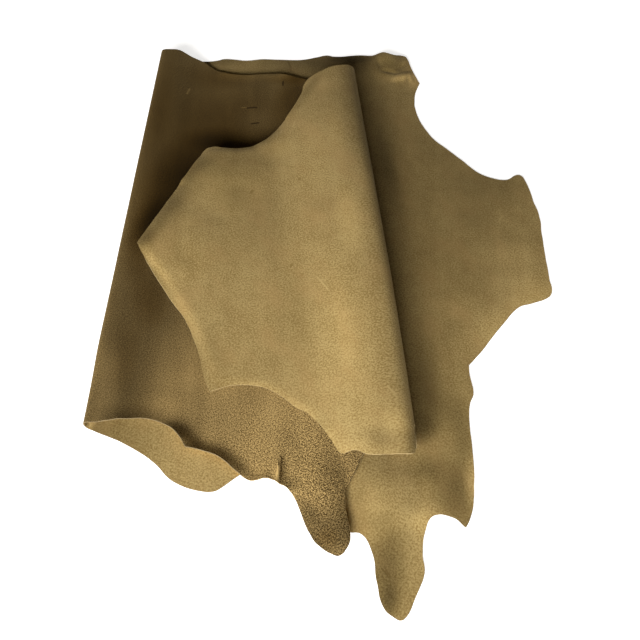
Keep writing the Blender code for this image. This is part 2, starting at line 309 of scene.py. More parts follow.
def folded(flat):
    """The layer that a point of the flat hide is in, and where it lies once folded."""
    if flat.x >= 0:
        x = LEFT_AXIS + flat.x
        return "bottom", Vector((x, flat.y, bottom_height(x, flat.y)))

    along = -flat.x - LEFT_ROLL
    if along < 0:
        axis = Vector((LEFT_AXIS, flat.y))
        low = bottom_height(axis.x, axis.y)
        high = middle_height(axis.x, axis.y)
        share = -flat.x / LEFT_ROLL
        return "left fold", roll(axis, Vector((-1, 0)), LEFT_HALF_WIDTH, share, low, high)

    plan = Vector((LEFT_AXIS + along, flat.y))
    past = (plan - RIGHT_AXIS).dot(RIGHT_OUT)
    axis = plan - RIGHT_OUT * past
    bow = Vector((right_bow(axis.y), 0))
    if past <= 0:
        plan += bow * max(1 + past / BOW_REACH, 0)
        return "middle", Vector((plan.x, plan.y, middle_height(plan.x, plan.y)))

    if past < RIGHT_ROLL:
        axis += bow
        low = middle_height(axis.x, axis.y)
        high = flap_height(axis.x, axis.y)
        share = past / RIGHT_ROLL
        return "right fold", roll(axis, RIGHT_OUT, RIGHT_HALF_WIDTH, share, low, high)

    inside = past - RIGHT_ROLL
    plan = axis - RIGHT_OUT * inside + bow * max(1 - inside / BOW_REACH, 0)
    return "flap", Vector((plan.x, plan.y, flap_height(plan.x, plan.y)))


def unfolded(layer, x, y):
    """The same place on the flat hide, which runs from the bottom layer, at +X, to the flap."""
    if layer == "bottom":
        return Vector((x - LEFT_AXIS, y))
    if layer == "right fold":
        axis = RIGHT_AXIS + RIGHT_ALONG * ((y - RIGHT_AXIS.y) / RIGHT_ALONG.y)
        plan = axis + RIGHT_OUT * x
        return Vector((LEFT_AXIS - LEFT_ROLL - plan.x, plan.y))
    plan = Vector((x, y))
    inside = (RIGHT_AXIS - plan).dot(RIGHT_OUT)
    plan.x -= right_bow(y) * max(1 - inside / BOW_REACH, 0)
    if layer == "flap":
        inside = (RIGHT_AXIS - plan).dot(RIGHT_OUT)
        plan += RIGHT_OUT * (2 * inside + RIGHT_ROLL)
    return Vector((LEFT_AXIS - LEFT_ROLL - plan.x, plan.y))


def edge_points():
    """The edge's points on the flat hide and their handles, the left fold's ends among them."""
    points = [(Vector((0, LEFT_FAR_END)), "AUTO")]
    for stretch in EDGE:
        if stretch.name == "arched edge":
            points.append((Vector((-LEFT_ROLL / 2, LEFT_NEAR_END)), "AUTO"))
        for place, (x, y) in enumerate(stretch.points):
            sharp = place == 0 and stretch.start == "sharp"
            point = unfolded(stretch.layer, x * MM, y * MM)
            points.append((point, "VECTOR" if sharp else "AUTO"))
    return points


def flat_hide():
    """One flat face inside a smooth curve through the edge's points, with a knife's wobble."""
    curve = bpy.data.curves.new("edge", "CURVE")
    curve.dimensions = "2D"
    curve.fill_mode = "BOTH"
    curve.resolution_u = CURVE_STEPS
    points = edge_points()
    spline = curve.splines.new("BEZIER")
    spline.bezier_points.add(len(points) - 1)
    spline.use_cyclic_u = True
    for knot, (point, handle) in zip(spline.bezier_points, points):
        knot.co = (point.x, point.y, 0)
        knot.handle_left_type = handle
        knot.handle_right_type = handle

    outline = bpy.data.objects.new("edge", curve)
    bpy.context.scene.collection.objects.link(outline)
    graph = bpy.context.evaluated_depsgraph_get()
    mesh = bpy.data.meshes.new_from_object(outline.evaluated_get(graph))
    bpy.data.objects.remove(outline)

    bm = bmesh.new()
    bm.from_mesh(mesh)
    bpy.data.meshes.remove(mesh)
    bmesh.ops.dissolve_faces(bm, faces=bm.faces[:])
    bmesh.ops.remove_doubles(bm, verts=bm.verts[:], dist=SHORTEST_EDGE)
    for vert in bm.verts:
        place = vert.co * EDGE_WOBBLES
        vert.co.x += noise.noise(place) * EDGE_WOBBLE
        vert.co.y += noise.noise(place + WOBBLE_SHIFT) * EDGE_WOBBLE
    return bm


def on_flat(past):
    """A point and a normal, on the flat hide, of the line that lies past the right axis."""
    plan = RIGHT_AXIS + RIGHT_OUT * past
    point = Vector((LEFT_AXIS - LEFT_ROLL - plan.x, plan.y, 0))
    return point, Vector((-RIGHT_OUT.x, RIGHT_OUT.y, 0))


def slice_up(bm, faces, lines):
    """Cuts faces along lines, each ahead of the one before it, and passes over what is done."""
    for point, normal in lines:
        edges = dict.fromkeys(edge for face in faces for edge in face.edges)
        verts = dict.fromkeys(vert for face in faces for vert in face.verts)
        made = bmesh.ops.bisect_plane(
            bm,
            geom=[*verts, *edges, *faces],
            dist=CUT_SNAP,
            plane_co=point,
            plane_no=normal,
        )
        faces = [part for part in made["geom"] if isinstance(part, bmesh.types.BMFace)]
        faces = [face for face in faces
                 if (face.calc_center_median() - point).dot(normal) > 0]


def region_of(flat):
    """The layer or fold that a place on the flat hide is in."""
    along = -flat.x - LEFT_ROLL
    if flat.x > 0:
        return "bottom"
    if along < 0:
        return "left fold"
    past = (Vector((LEFT_AXIS + along, flat.y)) - RIGHT_AXIS).dot(RIGHT_OUT)
    if past < 0:
        return "middle"
    return "right fold" if past < RIGHT_ROLL else "flap"


def divide(bm):
    """Cuts the flat face into small cells that line up with both folds."""
    turned = Vector((-1, 0, 0))
    left_end = Vector((-LEFT_ROLL, 0, 0))
    right_start, right_out = on_flat(0)
    slice_up(bm, bm.faces[:], [
        (Vector((0, 0, 0)), turned),
        (left_end, turned),
        (right_start, right_out),
        (on_flat(RIGHT_ROLL)[0], right_out),
    ])

    rows = math.ceil(max(vert.co.y for vert in bm.verts) / CELL)
    slice_up(bm, bm.faces[:], [
        (Vector((0, row * CELL, 0)), Vector((0, 1, 0))) for row in range(-rows, rows + 1)
    ])

    regions = {}
    for face in bm.faces:
        regions.setdefault(region_of(face.calc_center_median()), []).append(face)
    columns = math.ceil(max(vert.co.x for vert in bm.verts) / CELL)
    slice_up(bm, regions["bottom"], [
        (Vector((column * CELL, 0, 0)), -turned) for column in range(1, columns)
    ])
    slice_up(bm, regions["left fold"], [
        (left_end * (step / LEFT_ROLL_STEPS), turned) for step in range(1, LEFT_ROLL_STEPS)
    ])
    # The middle layer's columns fan out from the left fold to the leaning right one
    fan_start = Vector((-LEFT_ROLL, right_start.y, 0))
    fan = round((fan_start - right_start).length / CELL)
    slice_up(bm, regions["middle"], [
        (fan_start.lerp(right_start, column / fan), turned.lerp(right_out, column / fan))
        for column in range(1, fan)
    ])
    slice_up(bm, regions["right fold"], [
        on_flat(RIGHT_ROLL * step / RIGHT_ROLL_STEPS) for step in range(1, RIGHT_ROLL_STEPS)
    ])
    flap_end = min(vert.co.x for vert in bm.verts)
    columns = math.ceil((right_start.x - flap_end) / CELL)
    slice_up(bm, regions["flap"], [
        on_flat(RIGHT_ROLL + column * CELL) for column in range(1, columns)
    ])


def refine(bm, centre, reach):
    """Halves the cells round a place."""
    near = {vert for vert in bm.verts if (vert.co.xy - centre).length < reach}
    edges = [edge for edge in bm.edges if near.issuperset(edge.verts)]
    bmesh.ops.subdivide_edges(bm, edges=edges, cuts=1, use_grid_fill=True)


# The dye, painted light and shade, and the hand of the leather, place by place: how much paler or,
# under 0, darker a soft oval of it is than the rest, and how coarse its flesh side is. Besides the
# dye's own clouds and stains, many tones are painted light and shade: painted shadow where a fold
# or a raised edge shades the leather, painted shade where it falls away from the light, and painted
# light where it faces the light.
Patch = namedtuple("Patch", "name layer x y half_length half_width turn amount")
TONES = (
    # The bottom layer
    Patch("darker back of the hide", "bottom", 0.150, 0.160, 0.500, 0.860, 0, -0.38),
    Patch("darker shank", "bottom", 0.150, -0.620, 0.160, 0.240, 0, -0.30),
    # Painted shadow: the middle layer's raised far edge shades the far strip beyond it
    Patch("painted shadow on the far strip", "bottom", -0.060, 0.690, 0.300, 0.090, 0, -0.55),
    Patch("dark right knob", "bottom", 0.370, 0.220, 0.170, 0.100, 0, -0.20),
    Patch("darker far right bay", "bottom", 0.240, 0.330, 0.160, 0.060, 125, -0.08),
    Patch("pale near right edge", "bottom", 0.350, -0.170, 0.180, 0.070, 32, 0.50),
    # Painted shadow that the right fold casts on the bottom layer
    Patch("painted shadow of the right fold's near half", "bottom", 0.172, -0.340, 0.130, 0.044, 95, -0.36),
    # Painted shadow beside the far half of the right fold
    Patch("painted shadow of the right fold's far half", "bottom", 0.115, 0.470, 0.300, 0.060, 97, -0.12),
    Patch("pale near right corner", "bottom", 0.400, -0.085, 0.110, 0.080, 0, 0.36),
    Patch("dark middle of the shank", "bottom", 0.145, -0.475, 0.050, 0.046, 0, -0.38),
    Patch("pale middle of the shank", "bottom", 0.105, -0.505, 0.080, 0.060, 50, 0.10),
    Patch("pale bay of the shank", "bottom", 0.150, -0.575, 0.055, 0.045, 0, 0.30),
    # Painted shade on the left side of the tip, and painted light on its right side
    Patch("painted shade on the tip's left side", "bottom", 0.070, -0.665, 0.110, 0.045, 82, -0.40),
    Patch("painted light on the tip's right side", "bottom", 0.140, -0.610, 0.110, 0.040, 80, 0.35),
    Patch("brown near right part", "bottom", 0.210, -0.510, 0.110, 0.060, 88, -0.30),
    Patch("shaded left end of the lobe", "bottom", -0.440, -0.400, 0.200, 0.100, -25, -0.45),
    Patch("brown cloud by the far bay", "bottom", 0.291, 0.318, 0.070, 0.050, 20, -0.07),
    Patch("brown cloud on the shank", "bottom", 0.193, -0.509, 0.050, 0.070, 10, -0.09),
    # Painted light on a band of the shank that faces the light
    Patch("painted light on the band above the tip", "bottom", 0.122, -0.573, 0.060, 0.024, -10, 0.12),
    Patch("brown top of the far right corner", "bottom", 0.154, 0.650, 0.060, 0.046, 0, -0.36),
    Patch("pale ridge of the far right corner", "bottom", 0.178, 0.612, 0.034, 0.018, 25, 0.40),
    Patch("paler far right corner", "bottom", 0.214, 0.595, 0.028, 0.050, 0, 0.45),
    # Painted shadow on the left end of the far strip
    Patch("painted shadow on the far strip's left end", "bottom", -0.320, 0.690, 0.110, 0.050, 0, -0.45),
    Patch("brown near right bay", "bottom", 0.222, -0.395, 0.105, 0.034, 96, -0.36),
    # Painted light on the right side of the shank, which faces the light
    Patch("painted light on the shank's right side", "bottom", 0.234, -0.508, 0.075, 0.024, 88, 0.60),
    # Painted light that lightens the flap's shadow on the bottom layer before its near edge
    Patch("painted light before the flap's near edge", "bottom", 0.102, -0.460, 0.085, 0.032, 0, 0.22),
    Patch("pale middle of the tip's root", "bottom", 0.110, -0.540, 0.110, 0.065, 80, 0.16),
    Patch("brown left side of the tip's root", "bottom", 0.058, -0.575, 0.040, 0.025, 0, -0.16),
    Patch("brown leather by the near right bay", "bottom", 0.170, -0.230, 0.090, 0.040, 95, -0.12),
    Patch("pale leather by the near right bay", "bottom", 0.262, -0.140, 0.080, 0.060, 0, 0.16),
    Patch("pale leather of the right side", "bottom", 0.385, 0.000, 0.110, 0.050, 0, 0.22),
    # Painted shadow on the right end of the far strip, by the right fold's far end
    Patch("painted shadow on the far strip's right end", "bottom", 0.060, 0.700, 0.090, 0.030, 0, -0.28),
    Patch("shaded leather by the flesh lobe", "bottom", 0.032, -0.545, 0.060, 0.020, 90, -0.20),
    Patch("brown cloud of the right side", "bottom", 0.310, 0.115, 0.070, 0.060, 0, -0.10),
    Patch("brown left side of the tip", "bottom", 0.078, -0.700, 0.040, 0.022, 80, -0.25),
    # Painted shadow at the near end of the right fold
    Patch("painted shadow by the right fold's near end", "bottom", 0.154, -0.400, 0.050, 0.032, 95, -0.32),
    # Painted shadow on the bottom layer beside the right fold
    Patch("painted shadow beside the right fold", "bottom", 0.128, 0.270, 0.200, 0.032, 96, -0.22),
    Patch("first stain of the shank", "bottom", 0.082, -0.564, 0.022, 0.016, 0, -0.12),
    Patch("second stain of the shank", "bottom", 0.087, -0.598, 0.024, 0.018, 60, -0.10),
    # The flap and the right fold
    # Painted shade where the flap falls away from the light towards its far left edge
    Patch("painted shade on the flap's far left part", "flap", -0.265, 0.240, 0.150, 0.110, 15, -0.42),
    Patch("darker far end of the flap", "flap", -0.020, 0.540, 0.180, 0.220, 0, -0.22),
    # Painted shade on the right fold's flank, which turns away from the light
    Patch("painted shade on the right fold", "flap", 0.065, 0.380, 0.330, 0.050, 97, -0.34),
    # A paler spot by the right fold
    Patch("paler spot by the right fold", "flap", 0.034, 0.065, 0.150, 0.045, 97, 0.32),
    Patch("darker left part of the flap", "flap", -0.180, 0.060, 0.220, 0.120, 90, -0.12),
    Patch("paler right part of the flap", "flap", 0.030, -0.250, 0.320, 0.100, 97, 0.14),
    # Painted light on the drooping near left margin of the flap, which faces the light
    Patch("painted light on the flap's near left margin", "flap", -0.330, -0.125, 0.160, 0.024, -57, 0.26),
    Patch("darker stripe of the flap", "flap", -0.075, -0.190, 0.200, 0.055, 96, -0.16),
    Patch("paler far middle of the flap", "flap", -0.060, 0.290, 0.150, 0.120, 90, 0.12),
    # Painted light on a slope of the flap that faces the light
    Patch("painted light on the flap's ridge", "flap", 0.014, -0.210, 0.170, 0.032, 99, 0.12),
    Patch("shaded left corner of the far bay", "flap", -0.322, 0.250, 0.085, 0.050, 40, -0.32),
    # Painted light on the flap's far bay, where its surface turns from the light
    Patch("painted light on the flap's far bay", "flap", -0.145, 0.318, 0.065, 0.065, 0, 0.42),
    # Painted shade on a slope of the flap that falls away from the light
    Patch("painted shade on the flap's far left slope", "flap", -0.222, 0.150, 0.070, 0.055, 0, -0.30),
    Patch("pale near end of the right fold", "flap", 0.108, -0.430, 0.070, 0.045, 97, 0.40),
    Patch("dull near left part of the flap", "flap", -0.238, -0.240, 0.070, 0.030, -65, -0.16),
    Patch("shaded side of the right fold", "flap", 0.102, 0.150, 0.480, 0.020, 94, -0.40),
    Patch("dark near end of the right fold", "flap", 0.138, -0.430, 0.045, 0.012, 95, -0.50),
    Patch("shaded far left margin of the flap", "flap", -0.378, 0.075, 0.200, 0.034, 71, -0.36),
    Patch("shaded far margin of the flap", "flap", -0.070, 0.505, 0.140, 0.026, 59, -0.24),
    Patch("dull spot by the near left margin", "flap", -0.316, -0.028, 0.060, 0.030, -57, -0.18),
    Patch("paler left part of the flap", "flap", -0.325, 0.090, 0.060, 0.050, 0, 0.16),
    Patch("pale far end of the flap", "flap", -0.005, 0.535, 0.050, 0.060, 0, 0.18),
    Patch("pale far stripe of the flap", "flap", 0.008, 0.340, 0.150, 0.028, 97, 0.16),
    Patch("brown spot in the flap's middle", "flap", -0.026, 0.110, 0.060, 0.040, 0, -0.12),
    Patch("shaded left corner of the flap", "flap", -0.404, 0.020, 0.050, 0.030, 60, -0.30),
    Patch("smudge on the flap", "flap", -0.238, -0.187, 0.030, 0.012, 30, -0.14),
    # The flesh side of the middle layer and the left fold
    # Painted shade where the middle layer slopes down from the left fold, away from the light
    Patch("painted shade by the left fold", "middle", -0.385, -0.300, 0.170, 0.045, 100, -0.15),
    # Painted light and shade: the flesh side is painted paler near the light and darker far from it
    Patch("painted light on the near flesh side", "middle", -0.090, -0.450, 0.360, 0.360, 0, 1.65),
    Patch("painted shade on the far flesh side", "middle", -0.260, 0.270, 0.260, 0.420, 0, -0.61),
    # Painted shadow that the flap's lifted left edge casts on the flesh side
    Patch("painted shadow of the flap's left edge", "middle", -0.370, 0.190, 0.240, 0.085, 76, -0.42),
    # Painted shadow of the flap's lifted left corner
    Patch("painted shadow of the flap's left corner", "middle", -0.405, 0.040, 0.150, 0.050, 85, -0.42),
    # Painted shade on the flesh side beside the far half of the left fold
    Patch("painted shade on the far flesh by the left fold", "middle", -0.430, 0.500, 0.250, 0.050, 90, -0.28),
    Patch("shaded flesh by the notch", "middle", -0.240, -0.380, 0.070, 0.050, 0, -0.50),
    # Painted shade on the flesh side next to the flap's far edge
    Patch("painted shadow of the flap's far edge", "middle", -0.100, 0.540, 0.160, 0.060, 78, -0.42),
    # Painted shadow under the flap's lifted far bay
    Patch("painted shadow under the far bay", "middle", -0.290, 0.365, 0.100, 0.060, 0, -0.28),
    # Painted light that lightens the shadow under the flap's far bay
    Patch("painted light by the far slits", "middle", -0.195, 0.425, 0.070, 0.090, 0, 0.24),
    Patch("dark far margin of the flesh side", "middle", -0.110, 0.600, 0.090, 0.030, 0, -0.32),
    # Painted shade on the flesh side by the flap's near left edge
    Patch("painted shade by the flap's near left edge", "middle", -0.375, -0.120, 0.120, 0.050, -75, -0.28),
    # Painted shade on the flesh side by the flap's near corner
    Patch("painted shade by the flap's near corner", "middle", -0.260, -0.335, 0.055, 0.040, 0, -0.35),
    # Painted shade behind the curled near edge, where the flesh side faces away from the light
    Patch("painted shade behind the near edge", "middle", -0.190, -0.415, 0.060, 0.045, 0, -0.30),
    # Painted shadow by the flap's far left edge
    Patch("painted shadow by the flap's far left", "middle", -0.405, 0.085, 0.110, 0.030, 72, -0.12),
    # Painted light on the left fold's side, which faces the light
    Patch("painted light on the left fold", "middle", -0.453, -0.240, 0.260, 0.018, 90, 0.20),
    Patch("pale near margin before the notch", "middle", -0.130, -0.493, 0.050, 0.026, 0, 0.90),
    Patch("dark flesh by the far left corner", "middle", -0.300, 0.610, 0.130, 0.070, 0, -0.26),
    Patch("pale flesh in the near left part", "middle", -0.270, -0.280, 0.130, 0.170, 0, 0.55),
    Patch("pale flesh behind the arched edge", "middle", -0.335, -0.372, 0.070, 0.045, 0, 0.60),
    Patch("dark end of the flesh lobe", "middle", -0.024, -0.598, 0.080, 0.072, 15, -1.20),
    # Painted shade in the valley beside the flesh lobe, which falls away from the light
    Patch("painted shade in the valley of the flesh lobe", "middle", -0.008, -0.460, 0.090, 0.020, -66, -0.40),
    # Painted shadow in the gap along the lobe's right margin
    Patch("painted shadow at the lobe's right margin", "middle", 0.013, -0.540, 0.055, 0.008, 90, -0.40),
    Patch("dark spot of the lobe's left side", "middle", -0.052, -0.556, 0.040, 0.020, -60, -0.85),
    Patch("shaded side of the notch", "middle", -0.088, -0.462, 0.042, 0.018, 86, -0.25),
    Patch("pale flesh along the near edge", "middle", -0.235, -0.450, 0.110, 0.030, -28, 0.85),
    Patch("pale flesh before the notch", "middle", -0.129, -0.429, 0.060, 0.050, 0, 0.25),
    Patch("dark middle of the far flesh", "middle", -0.335, 0.480, 0.080, 0.120, 0, -0.04),
)
COARSE = (
    Patch("flesh lobe", "middle", -0.010, -0.530, 0.120, 0.220, 10, 1.00),
    Patch("near edge of the flesh side", "middle", -0.150, -0.440, 0.220, 0.160, 0, 0.45),
)


def mark_leather(bm):
    """Keeps each point's place on the flat hide, its tone with its painted light and shade, where
    it is coarse, and where its cut edge is painted as lit.
    """
    flat_map = bm.loops.layers.uv.new("flat hide")
    tone = bm.verts.layers.float.new("tone")
    coarse = bm.verts.layers.float.new("coarse")
    painted_rim_light = bm.verts.layers.float.new("painted_rim_light")
    for face in bm.faces:
        for corner in face.loops:
            corner[flat_map].uv = corner.vert.co.xy
    for vert in bm.verts:
        layer, place = folded(vert.co)
        dyed = {"left fold": "middle", "right fold": "flap"}.get(layer, layer)
        vert[tone] = 1 + sum(patch.amount * soft_patch(patch, place.x, place.y)
                             for patch in TONES if patch.layer == dyed)
        vert[coarse] = sum(patch.amount * soft_patch(patch, place.x, place.y)
                           for patch in COARSE if patch.layer == dyed)
        # The cut edge is painted paler, as lit, along the flap
        vert[painted_rim_light] = 1.0 if dyed == "flap" else 0.0
        if layer == "middle":
            off_lobe = (place.xy - LOBE_PLACE).length / LOBE_REACH
            tuft = noise.noise(place * LOBE_FIBRE_SCALE)
            place.z += LOBE_FIBRE * ease(off_lobe) * tuft
        vert.co = place


bm = flat_hide()
divide(bm)
refine(bm, unfolded("middle", *LOBE_PLACE), LOBE_REACH)
refine(bm, unfolded("bottom", *FAR_CORNER), FAR_CORNER_REACH)
bmesh.ops.triangulate(bm, faces=[face for face in bm.faces if len(face.verts) > 4])
mark_leather(bm)
mesh = bpy.data.meshes.new("sheet")
bm.to_mesh(mesh)
bm.free()
mesh.shade_smooth()


# The leather's finish. Nubuck is grain leather sanded to a short, even nap, dyed olive tan.
# Its flesh side is left rough and fibrous, and the knife leaves bare fibre along the edge, painted
# pale where lit and dark where shaded.

# The sockets of a Mix node that mixes colours
MIX_SHARE = 0
MIX_FIRST = 6
MIX_SECOND = 7
MIX_RESULT = 2

SHEEN_ROUGHNESS = 0.5


class Signal:
    """A socket of some nodes, on which Python's arithmetic adds Math nodes."""

    def __init__(self, nodes, socket):
        self.nodes = nodes
        self.socket = socket

    def math(self, operation, first, second):
        return self.nodes.add("ShaderNodeMath", {0: first, 1: second}, operation=operation)

    def __add__(self, other):
        return self.math("ADD", self, other)

    def __sub__(self, other):
        return self.math("SUBTRACT", self, other)

    def __rsub__(self, other):
        return self.math("SUBTRACT", other, self)

    def __mul__(self, other):
        return self.math("MULTIPLY", self, other)

    __radd__ = __add__
    __rmul__ = __mul__


class Nodes:
    """The nodes of a finish or of the room."""

    def __init__(self, tree):
        self.tree = tree

    def feed(self, socket, value):
        """Links a socket to a signal, or gives it a plain value."""
        if isinstance(value, Signal):
            self.tree.links.new(value.socket, socket)
        else:
            socket.default_value = value

    def add(self, kind, inputs=None, output=0, **settings):
        """Adds a node with its settings, then its sockets' values or links."""
        node = self.tree.nodes.new(kind)
        for name, setting in settings.items():
            setattr(node, name, setting)
        for socket, value in (inputs or {}).items():
            self.feed(node.inputs[socket], value)
        return Signal(self, node.outputs[output])

    def step(self, value, low, high):
        """0 below low, 1 above high, smooth between."""
        return self.add("ShaderNodeMapRange", {
            "Value": value, "From Min": low, "From Max": high}, interpolation_type="SMOOTHSTEP")

    def mix(self, share, first, second, blend="MIX"):
        """The first colour at a share of 0, the second at 1."""
        colours = {MIX_SHARE: share, MIX_FIRST: first, MIX_SECOND: second}
        return self.add("ShaderNodeMix", colours, MIX_RESULT,
                        data_type="RGBA", blend_type=blend, clamp_factor=True)


class Finish(Nodes):
    """A material built up from nodes."""

    def __init__(self, name, roughness, specular, sheen, sheen_tint):
        self.material = bpy.data.materials.new(name)
        self.material.use_nodes = True
        super().__init__(self.material.node_tree)
        self.shader = self.tree.nodes["Principled BSDF"]
        self.shader.inputs["Roughness"].default_value = roughness
        self.shader.inputs["Specular IOR Level"].default_value = specular
        self.shader.inputs["Sheen Weight"].default_value = sheen
        self.shader.inputs["Sheen Roughness"].default_value = SHEEN_ROUGHNESS
        self.shader.inputs["Sheen Tint"].default_value = sheen_tint
        self.flat = self.add("ShaderNodeUVMap", uv_map="flat hide")

    def noise(self, place, scale=1, detail=2, roughness=0.5):
        """Cloudy noise, from -1 to 1 about 0."""
        cloud = self.add("ShaderNodeTexNoise", {
            "Vector": place, "Scale": scale, "Detail": detail, "Roughness": roughness})
        return cloud * 2.0 - 1.0

    def stretched(self, turn, scale_x=1, scale_y=1):
        """The flat hide's places, turned and then drawn out."""
        turned = self.add("ShaderNodeMapping", {
            "Vector": self.flat, "Rotation": (0, 0, math.radians(turn))})
        return self.add("ShaderNodeMapping", {
            "Vector": turned, "Scale": (scale_x, scale_y, 1)})

    def toned(self, colour, shade):
        """The colour as pale or dark as the tone at each place, dye and painted light and shade
        alike; what is dark is browner.
        """
        tone = self.attribute("tone")
        return self.scaled(self.mix(1 - tone, colour, shade, "MULTIPLY"), tone)

    def scaled(self, colour, amount):
        """A colour or a direction, times an amount."""
        return self.add("ShaderNodeVectorMath", {0: colour, "Scale": amount}, operation="SCALE")

    def attribute(self, name):
        """What mark_leather kept at each point."""
        return self.add("ShaderNodeAttribute", output="Fac", attribute_name=name)

    def bump(self, height):
        """Relief in millimetres."""
        normal = self.add("ShaderNodeBump", {
            "Height": height, "Strength": 1.0, "Distance": MM})
        self.feed(self.shader.inputs["Normal"], normal)


# Scratches and slits, and the painted highlight and painted shade of the crease at the notch, each
# from one place to another, in metres as it lies: pale where their strength is over 0, dark where
# it is under
Scratch = namedtuple("Scratch", "layer x1 y1 x2 y2 half_width strength")
SCRATCHES_AND_PAINTED_CREASE = (
    Scratch("flap", -0.037, -0.083, -0.016, -0.118, 0.0020, 0.9),
    Scratch("flap", -0.031, -0.092, -0.019, -0.094, 0.0016, 0.6),
    Scratch("flap", -0.097, 0.388, -0.092, 0.408, 0.0030, 1.3),
    Scratch("flap", -0.126, 0.374, -0.124, 0.380, 0.0030, 0.7),
    Scratch("flap", 0.088, -0.344, 0.097, -0.360, 0.0020, 0.9),
    Scratch("flap", -0.185, 0.167, -0.183, 0.171, 0.0044, -1.3),
    Scratch("flap", -0.078, 0.199, -0.076, 0.203, 0.0036, -0.9),
    Scratch("flap", -0.092, -0.047, -0.090, -0.043, 0.0036, -1.1),
    Scratch("flap", -0.069, -0.073, -0.067, -0.070, 0.0034, -0.8),
    Scratch("bottom", 0.364, 0.102, 0.374, 0.118, 0.0022, 0.9),
    Scratch("bottom", 0.067, -0.649, 0.076, -0.659, 0.0018, -1.2),
    Scratch("bottom", 0.072, -0.648, 0.080, -0.661, 0.0016, -0.8),
    Scratch("bottom", -0.117, 0.683, -0.110, 0.662, 0.0034, -2.6),
    Scratch("bottom", -0.110, 0.662, -0.109, 0.645, 0.0034, -2.6),
    Scratch("middle", -0.214, 0.484, -0.192, 0.486, 0.0034, -1.8),
    Scratch("middle", -0.228, 0.485, -0.212, 0.486, 0.0030, 0.6),
    Scratch("middle", -0.200, 0.424, -0.184, 0.427, 0.0030, -1.6),
    Scratch("middle", -0.370, 0.530, -0.366, 0.550, 0.0030, 0.8),
    Scratch("middle", -0.128, 0.575, -0.127, 0.592, 0.0026, -0.9),
    # Painted highlight on the lit side of the crease at the notch, then painted shade in the groove
    # beside it
    Scratch("middle", -0.102, -0.480, -0.106, -0.512, 0.0030, 1.2),
    Scratch("middle", -0.098, -0.462, -0.099, -0.508, 0.0024, -0.5),
)

# The share of a scratch's half width over which it is at its full strength
SCRATCH_CORE = 0.3


def scratch_on(finish, scratch):
    """1 on the line of a scratch, 0 off it."""
    start = unfolded(scratch.layer, scratch.x1, scratch.y1)
    run = unfolded(scratch.layer, scratch.x2, scratch.y2) - start
    from_start = finish.add("ShaderNodeVectorMath", {
        0: finish.flat, 1: (start.x, start.y, 0)}, operation="SUBTRACT")
    along = finish.add("ShaderNodeVectorMath", {
        0: from_start, 1: (run.x, run.y, 0)}, "Value", operation="DOT_PRODUCT")
    share = finish.add("ShaderNodeMath", {
        0: along, 1: run.length_squared}, operation="DIVIDE", use_clamp=True)
    nearest = finish.scaled((run.x, run.y, 0), share)
    off = finish.add("ShaderNodeVectorMath", {
        0: from_start, 1: nearest}, "Value", operation="DISTANCE")
    return 1 - finish.step(off, scratch.half_width * SCRATCH_CORE, scratch.half_width)


def scratches_on(finish, layers):
    """All the scratches of some layers, each with its strength."""
    marks = 0.0
    for scratch in SCRATCHES_AND_PAINTED_CREASE:
        if scratch.layer in layers:
            marks = scratch_on(finish, scratch) * scratch.strength + marks
    return marks


# The grain side: the sanded nap under soft clouds of dye, brushed one way. Its colour runs
# from deep to pale as the patterns add up, and is rosier in streaks.
GRAIN_DEEP = (0.205, 0.136, 0.044, 1)
GRAIN_PALE = (0.360, 0.266, 0.108, 1)
GRAIN_ROSY = (0.338, 0.222, 0.086, 1)
GRAIN_SHADE = (1.0, 0.95, 0.76, 1)
GOLDEN = (0.95, 0.85, 0.60, 1)

grain = Finish("nubuck grain", roughness=0.88, specular=0.12, sheen=0.08, sheen_tint=GOLDEN)
clouds = grain.noise(grain.stretched(33), scale=7, detail=3)
mottle = grain.noise(grain.stretched(51), scale=32, detail=4, roughness=0.65)
streaks = grain.noise(grain.stretched(7, 34, 3.5), detail=3, roughness=0.55)
nap = grain.noise(grain.stretched(19), scale=310, detail=3, roughness=0.6)
rosiness = grain.noise(grain.stretched(-24, 17, 9), detail=3, roughness=0.6)
rosy = grain.step(rosiness, -0.15, 0.55)
brushed = grain.noise(grain.stretched(28, 900, 130))
strands = grain.noise(grain.stretched(-37, 420, 22), roughness=0.6)
hairs = grain.step(strands, 0.42, 0.60)
pores = grain.add("ShaderNodeTexVoronoi", {"Vector": grain.flat, "Scale": 46}, "Distance")
specks = 1 - grain.step(pores, 0.040, 0.090)
scratched = scratches_on(grain, ("bottom", "flap"))
share = (clouds * 0.30 + mottle * 0.42 + streaks * 0.30 + nap * 2.10 + brushed * 0.30
         + hairs * 0.20 - specks * 0.80 + scratched + 0.5)
dyed = grain.mix(rosy * 0.45, grain.mix(share, GRAIN_DEEP, GRAIN_PALE), GRAIN_ROSY)
grain_colour = grain.toned(dyed, GRAIN_SHADE)
grain.feed(grain.shader.inputs["Base Color"], grain_colour)
grain.bump(nap * 0.10 + brushed * 0.03 + mottle * 0.12 - specks * 0.08 + scratched * 0.05)

# The flesh side: darker and browner, with short fluff and, where it is coarse, open pits
FLESH_DEEP = (0.036, 0.022, 0.007, 1)
FLESH_PALE = (0.182, 0.126, 0.050, 1)
FLESH_SHADE = (1.0, 0.70, 0.08, 1)
BROWN = (0.85, 0.65, 0.35, 1)

flesh = Finish("rough flesh side", roughness=0.95, specular=0.05, sheen=0.04, sheen_tint=BROWN)
coarse = flesh.attribute("coarse")
clouds = flesh.noise(flesh.stretched(41), scale=8, detail=3)
bands = flesh.noise(flesh.stretched(5, 26, 3), detail=3)
fluff = flesh.noise(flesh.stretched(27), scale=430, roughness=0.6)
fibres = flesh.noise(flesh.stretched(20, 620, 150), detail=3, roughness=0.6)
tufts = flesh.noise(flesh.flat, scale=210, detail=3, roughness=0.7)
pits = flesh.step(tufts, 0.10, 0.45) * coarse
